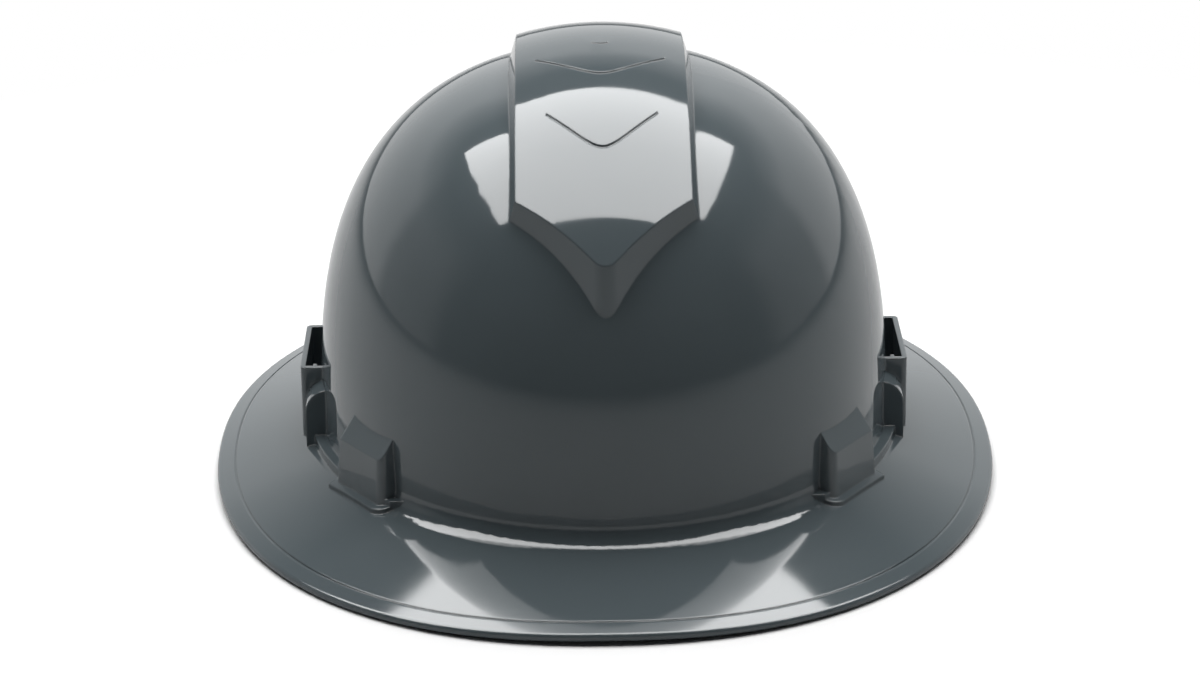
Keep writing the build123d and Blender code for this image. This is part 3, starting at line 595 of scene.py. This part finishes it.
def add_pad(node, centre_y, facing, material, sewing):
    """A foam pad in a knitted cover, blown up a little and sewn round its edge."""
    piece = bpy.data.objects.new(f"{node}_cover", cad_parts[node].data.copy())
    scene.collection.objects.link(piece)
    remesh = piece.modifiers.new("remesh", "REMESH")
    remesh.mode = "VOXEL"
    remesh.voxel_size = PAD_VOXEL
    mesh = baked(piece)
    spokes = [spoke_to(vertex, centre_y).length for vertex in mesh.vertices]
    inner, outer = min(spokes), max(spokes)
    for vertex in mesh.vertices:
        vertex.co -= vertex.normal * PAD_SHRINK
    rest = [vertex.co.copy() for vertex in mesh.vertices]
    mesh = inflate(piece)
    settle(mesh, rest, outer, centre_y)
    smooth = piece.modifiers.new("smooth", "SUBSURF")
    smooth.levels = 1
    smooth.render_levels = 1
    mesh = baked(piece)
    low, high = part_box(node)
    level = (low.z + high.z) / 2
    half_height = (high.z - low.z) / 2
    half_turn = PAD_TURNS[node]
    # The seam draws a channel into the face towards the head, and leaves the back as it is
    middle = (inner + outer) / 2
    for vertex in mesh.vertices:
        spoke = spoke_to(vertex, centre_y)
        if spoke.length > middle:
            continue
        along = atan2(vertex.co.x, facing * (vertex.co.y - centre_y)) * inner
        beside = half_turn * inner - abs(along)
        over = half_height - abs(vertex.co.z - level)
        off = min(beside, over) - PAD_SEAM_INSET
        vertex.co += spoke.normalized() * (PAD_SEAM_DEPTH * exp(-((off / PAD_SEAM_WIDTH) ** 2)))
    mesh.materials.clear()
    mesh.materials.append(material)
    for polygon in mesh.polygons:
        polygon.use_smooth = True
    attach(piece, "headband")
    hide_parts(node)
    axis = Vector((0, centre_y, 0))

    def place(along, over):
        """A point on the cover's face, found by a ray from the head's side, and its outward direction."""
        turn = along / inner
        outward = -Vector((sin(turn), facing * cos(turn), 0))
        start = axis + Vector((0, 0, level + over)) - outward * (inner - PAD_PROBE_REACH)
        found, point, _, _ = piece.ray_cast(start, -outward)
        return (point if found else start) + outward * PAD_STITCH_LIFT, outward

    bpy.context.view_layer.update()
    u = half_turn * inner - PAD_SEAM_INSET
    v = half_height - PAD_SEAM_INSET
    found = seam(place, (-u, -v), (u, -v)) + seam(place, (u, v), (-u, v))
    found += seam(place, (-u, v), (-u, -v)) + seam(place, (u, -v), (u, v))
    add_stitches(f"{node}_stitches", found, "headband", sewing)


def add_pads():
    """The brow pad at the headband's front and the nape pad at its rear."""
    # The darker colour is painted shade for the gaps between loops, and the lighter one is the loop tops
    cover = knit("pad_terry", paint(28, 29, 32), paint(78, 80, 86))
    sewing = thread("pad_thread", paint(120, 122, 126))
    add_pad("brow_pad", -STATION_CENTRE, -1, cover, sewing)
    add_pad("nape_pad", STATION_CENTRE, 1, cover, sewing)


def add_soft_box(centre, size, power, gleam):
    """A soft box that faces straight down: a lamp, and a bright card that only glossy reflections see."""
    data = bpy.data.lights.new("overhead", "AREA")
    data.shape = "RECTANGLE"
    data.size, data.size_y = size
    data.energy = power * size[0] * size[1]
    light = bpy.data.objects.new("overhead", data)
    scene.collection.objects.link(light)
    light.location = centre
    light.visible_glossy = False
    x, y = size[0] / 2, size[1] / 2
    mesh = bpy.data.meshes.new("overhead_card")
    mesh.from_pydata([(-x, -y, 0), (-x, y, 0), (x, y, 0), (x, -y, 0)], [], [(0, 1, 2, 3)])
    card = bpy.data.objects.new("overhead_card", mesh)
    scene.collection.objects.link(card)
    card.location = centre
    card.visible_camera = False
    card.visible_diffuse = False
    card.visible_shadow = False
    look = Shading("overhead_glow")
    look.set(Base_Color=(0, 0, 0, 1), Emission_Color=(1, 1, 1, 1), Emission_Strength=gleam)
    mesh.materials.append(look.material)


# Studio: a wide soft box overhead, a white surround at the sides and behind, dark on the camera's side
OVERHEAD_MIDDLE = (-0.02, 0.40, 1.45)
OVERHEAD_SIZE = (2.2, 1.4)
OVERHEAD_POWER = 12.3
OVERHEAD_GLEAM = 9.3
SURROUND_LEVEL = 0.8
SIDE_STOPS = ((0.0, 0.03), (0.36, 0.04), (0.46, 0.34), (0.68, 0.42), (0.735, 0.95), (1.0, 1.0))
HEIGHT_STOPS = ((0.0, 1.0), (0.71, 1.0), (0.81, 0.1), (1.0, 0.1))


def add_stops(nodes, stops):
    """A grey ramp through stops of a position and a level."""
    ramp = nodes.new("ShaderNodeValToRGB")
    elements = ramp.color_ramp.elements
    for _ in range(len(stops) - 2):
        elements.new(0.5)
    for element, (position, _) in zip(elements, stops):
        element.position = position
    for element, (_, level) in zip(elements, stops):
        element.color = (level, level, level, 1)
    return ramp


def add_world():
    """White to the camera. The object sees white at the sides and behind, and dark in front and overhead."""
    world = bpy.data.worlds.new("studio")
    scene.world = world
    world.use_nodes = True
    nodes = world.node_tree.nodes
    links = world.node_tree.links
    backdrop = nodes["Background"]
    backdrop.inputs["Color"].default_value = (1, 1, 1, 1)
    backdrop.inputs["Strength"].default_value = 1.0
    surround = nodes.new("ShaderNodeBackground")
    place = nodes.new("ShaderNodeTexCoord")
    split = nodes.new("ShaderNodeSeparateXYZ")
    links.new(place.outputs["Generated"], split.inputs["Vector"])
    ramps = []
    for axis, stops in (("Y", SIDE_STOPS), ("Z", HEIGHT_STOPS)):
        share = nodes.new("ShaderNodeMapRange")
        share.inputs["From Min"].default_value = -1
        links.new(split.outputs[axis], share.inputs["Value"])
        ramp = add_stops(nodes, stops)
        links.new(share.outputs["Result"], ramp.inputs["Fac"])
        ramps.append(ramp.outputs["Color"])
    both = nodes.new("ShaderNodeVectorMath")
    both.operation = "MULTIPLY"
    links.new(ramps[0], both.inputs[0])
    links.new(ramps[1], both.inputs[1])
    links.new(both.outputs["Vector"], surround.inputs["Color"])
    rays = nodes.new("ShaderNodeLightPath")
    gloss = nodes.new("ShaderNodeMath")
    gloss.operation = "MAXIMUM"
    links.new(rays.outputs["Is Glossy Ray"], gloss.inputs[0])
    links.new(rays.outputs["Is Transmission Ray"], gloss.inputs[1])
    level = nodes.new("ShaderNodeMapRange")
    level.inputs["To Min"].default_value = SURROUND_LEVEL
    level.inputs["To Max"].default_value = 1.0
    links.new(gloss.outputs["Value"], level.inputs["Value"])
    links.new(level.outputs["Result"], surround.inputs["Strength"])
    mix = nodes.new("ShaderNodeMixShader")
    links.new(rays.outputs["Is Camera Ray"], mix.inputs["Fac"])
    links.new(surround.outputs["Background"], mix.inputs[1])
    links.new(backdrop.outputs["Background"], mix.inputs[2])
    links.new(mix.outputs["Shader"], nodes["World Output"].inputs["Surface"])


# Floor. It is white to the camera and pale to the hat, and its fade runs outwards from the hat's middle
FLOOR_REACH = 6.0
FLOOR_LEVEL = -0.4 * MM
FLOOR_WHITE = (1, 1, 1, 1)
FLOOR_FADE = (0.24, 0.5)
FLOOR_BOUNCE = (0.62, 0.62, 0.62, 1)


def add_floor():
    """A pale table that keeps the hat's shadow."""
    r = FLOOR_REACH
    mesh = bpy.data.meshes.new("floor")
    mesh.from_pydata([(-r, -r, 0), (r, -r, 0), (r, r, 0), (-r, r, 0)], [], [(0, 1, 2, 3)])
    floor = bpy.data.objects.new("floor", mesh)
    scene.collection.objects.link(floor)
    floor.location.z = FLOOR_LEVEL
    look = Shading("floor_white")
    look.set(Roughness=0.9, Specular_IOR_Level=0.0)
    rays = look.node("ShaderNodeLightPath")
    seen = rays.outputs["Is Camera Ray"]
    look.feed("Base Color", look.ramp(seen, FLOOR_BOUNCE, FLOOR_WHITE, start=0.0, end=1.0))
    # Far from the hat the floor is plain white to the camera, from any side
    away = look.node("ShaderNodeVectorMath", operation="LENGTH")
    look.links.new(look.place(), away.inputs[0])
    far = look.ramp(away.outputs["Value"], 0.0, 1.0, *FLOOR_FADE)
    white = look.node("ShaderNodeEmission")
    share = look.node("ShaderNodeMath", operation="MULTIPLY")
    look.links.new(far, share.inputs[0])
    look.links.new(seen, share.inputs[1])
    mix = look.node("ShaderNodeMixShader")
    look.links.new(share.outputs["Value"], mix.inputs["Fac"])
    look.links.new(look.shader.outputs["BSDF"], mix.inputs[1])
    look.links.new(white.outputs["Emission"], mix.inputs[2])
    look.links.new(mix.outputs["Shader"], look.nodes["Material Output"].inputs["Surface"])
    mesh.materials.append(look.material)


add_camera()
finish_nodes()
add_crown_straps()
add_pads()
add_world()
add_floor()
add_soft_box(OVERHEAD_MIDDLE, OVERHEAD_SIZE, OVERHEAD_POWER, OVERHEAD_GLEAM)
